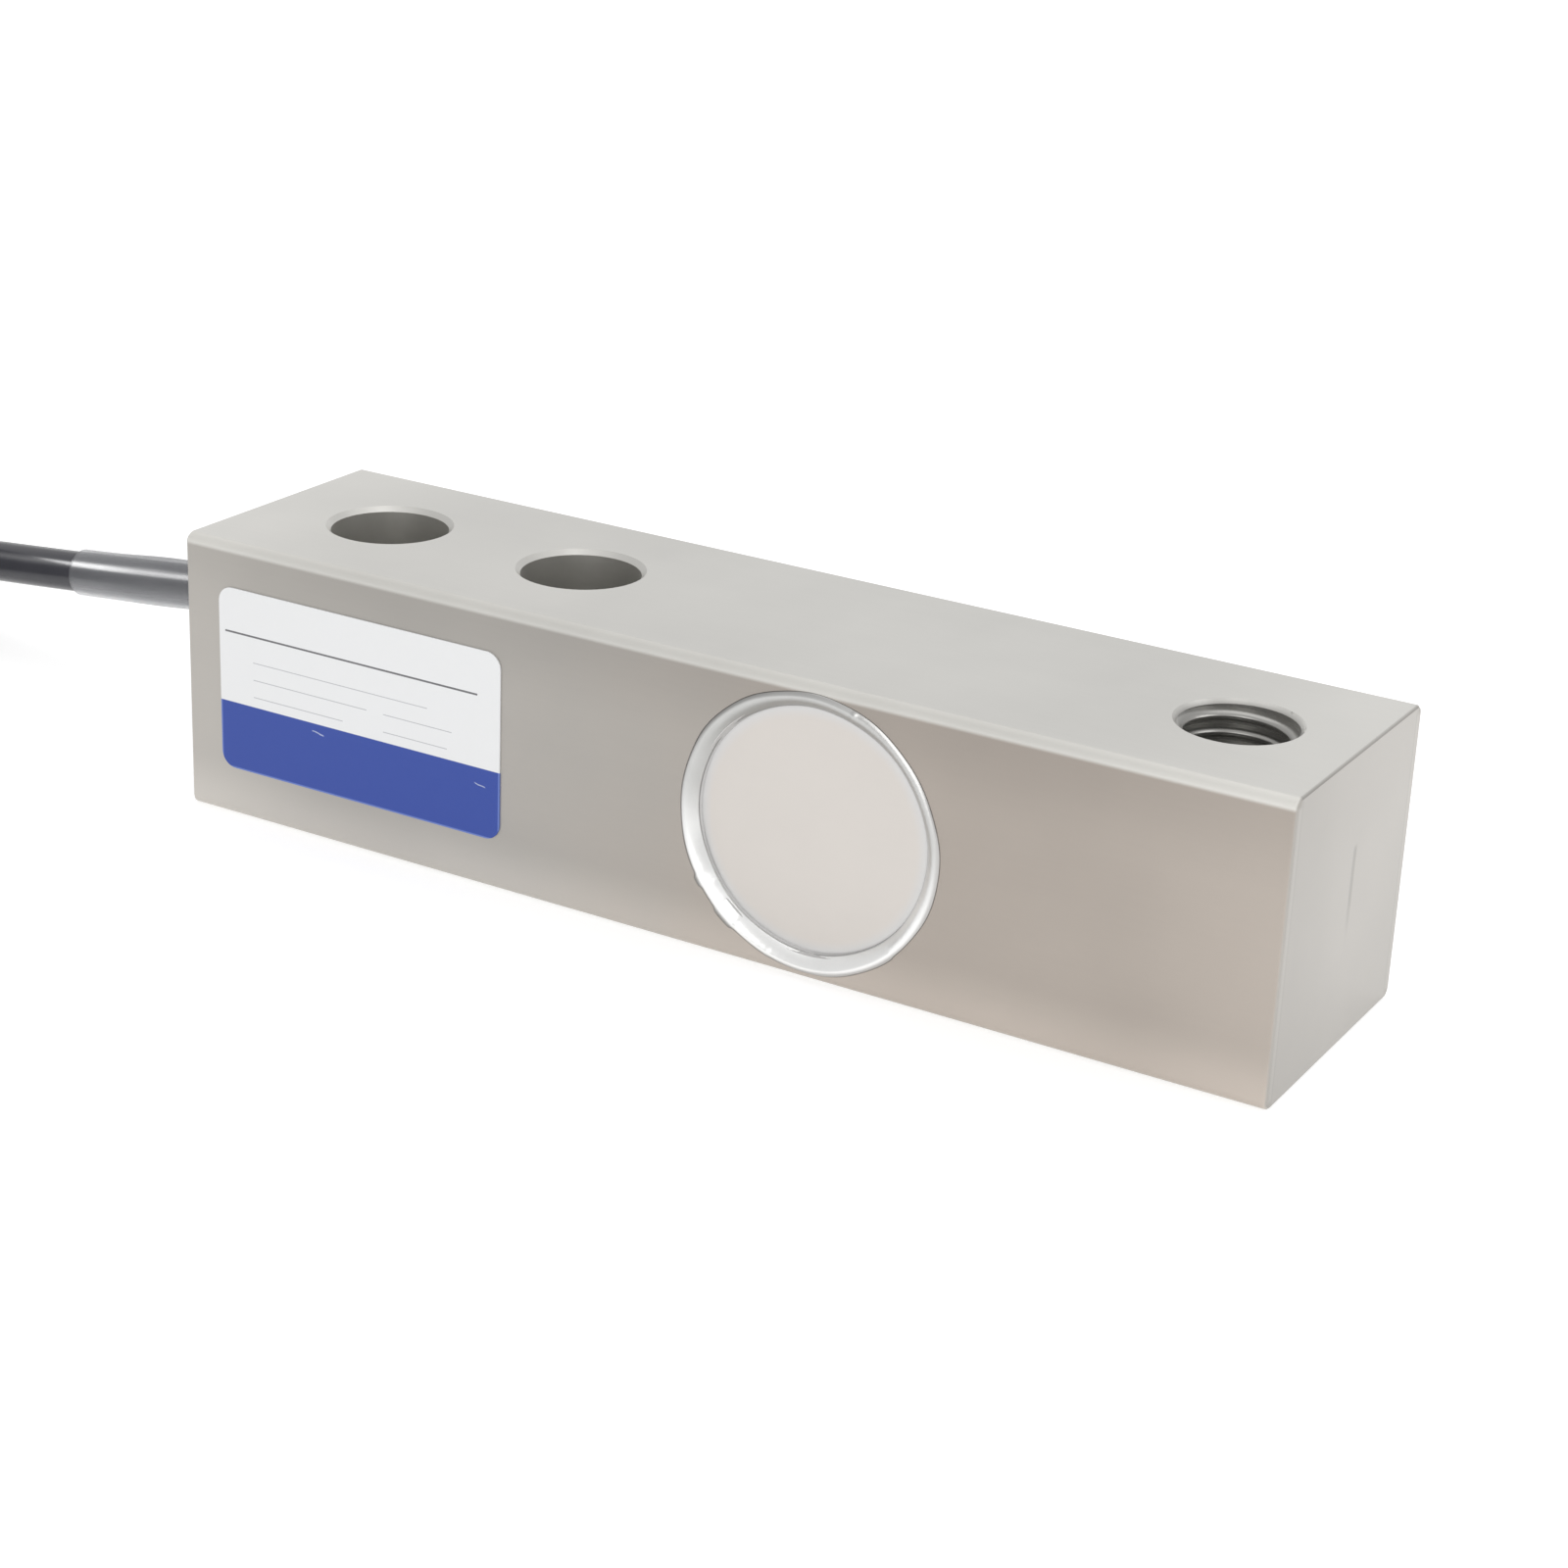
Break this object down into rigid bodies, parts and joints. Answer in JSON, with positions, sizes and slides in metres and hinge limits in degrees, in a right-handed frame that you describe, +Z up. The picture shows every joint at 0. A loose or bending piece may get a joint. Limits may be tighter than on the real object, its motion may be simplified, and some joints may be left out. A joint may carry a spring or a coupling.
{
  "type": "shear beam load cell",
  "caption": "Square steel bar load cell with plain mounting holes, a tapped load hole, welded covers over its gauge pockets, a rating label and a cable coiled into a tied hank.",
  "frame": {"origin": "under the middle of the bar, on the face it stands on", "axes": "+X along the bar to the loaded end, the cable leaves towards -X, the label faces -Y, +Z up along the holes"},
  "size_m": [0.3163, 0.0677, 0.0351],
  "materials": {
    "beam_steel": "ground and plated alloy steel, satin",
    "cover_steel": "pressed stainless sheet, satin",
    "weld_steel": "bright weld bead, lightly rippled",
    "bush_steel": "turned stainless",
    "potting": "dark epoxy",
    "label_film": "white film with a blue band and blank ruled lines",
    "cable_jacket": "black polyurethane, fine matte",
    "clear_sleeve": "clear shrink sleeve, greyed by the cable under it",
    "tie_nylon": "black nylon",
    "shrink_black": "black shrink sleeve",
    "core_green": "green insulation",
    "core_white": "white insulation",
    "core_black": "black insulation",
    "core_red": "red insulation",
    "tinned_copper": "tinned copper strands",
    "gauge_foil": "amber polyimide carrier with foil grids",
    "board_green": "green solder resist",
    "spacer_nylon": "natural nylon",
    "resistor_black": "black chip body",
    "enamel_wire": "enamelled copper"
  },
  "bodies": {
    "root": {"beam": "beam_steel", "board_spacers": "spacer_nylon", "cable_entry_bush": "bush_steel", "cable_hank": "cable_jacket", "cable_run": "cable_jacket", "cable_tail": "cable_jacket", "compensation_board": "board_green", "compensation_resistors": "resistor_black", "core_black": "core_black", "core_green": "core_green", "core_red": "core_red", "core_white": "core_white", "end_sleeve": "shrink_black", "entry_seal": "potting", "front_cover": "cover_steel", "front_strain_gauge": "gauge_foil", "front_terminal_strip": "board_green", "front_tie": "tie_nylon", "front_weld_bead": "weld_steel", "gauge_leads": "enamel_wire", "jumper_wires": "enamel_wire", "lead_wire_black": "core_black", "lead_wire_green": "core_green", "lead_wire_red": "core_red", "lead_wire_white": "core_white", "rating_label": "label_film", "rear_cover": "cover_steel", "rear_strain_gauge": "gauge_foil", "rear_tie": "tie_nylon", "rear_weld_bead": "weld_steel", "shield_wire": "tinned_copper", "strain_relief_sleeve": "clear_sleeve"}
  },
  "joints": []
}
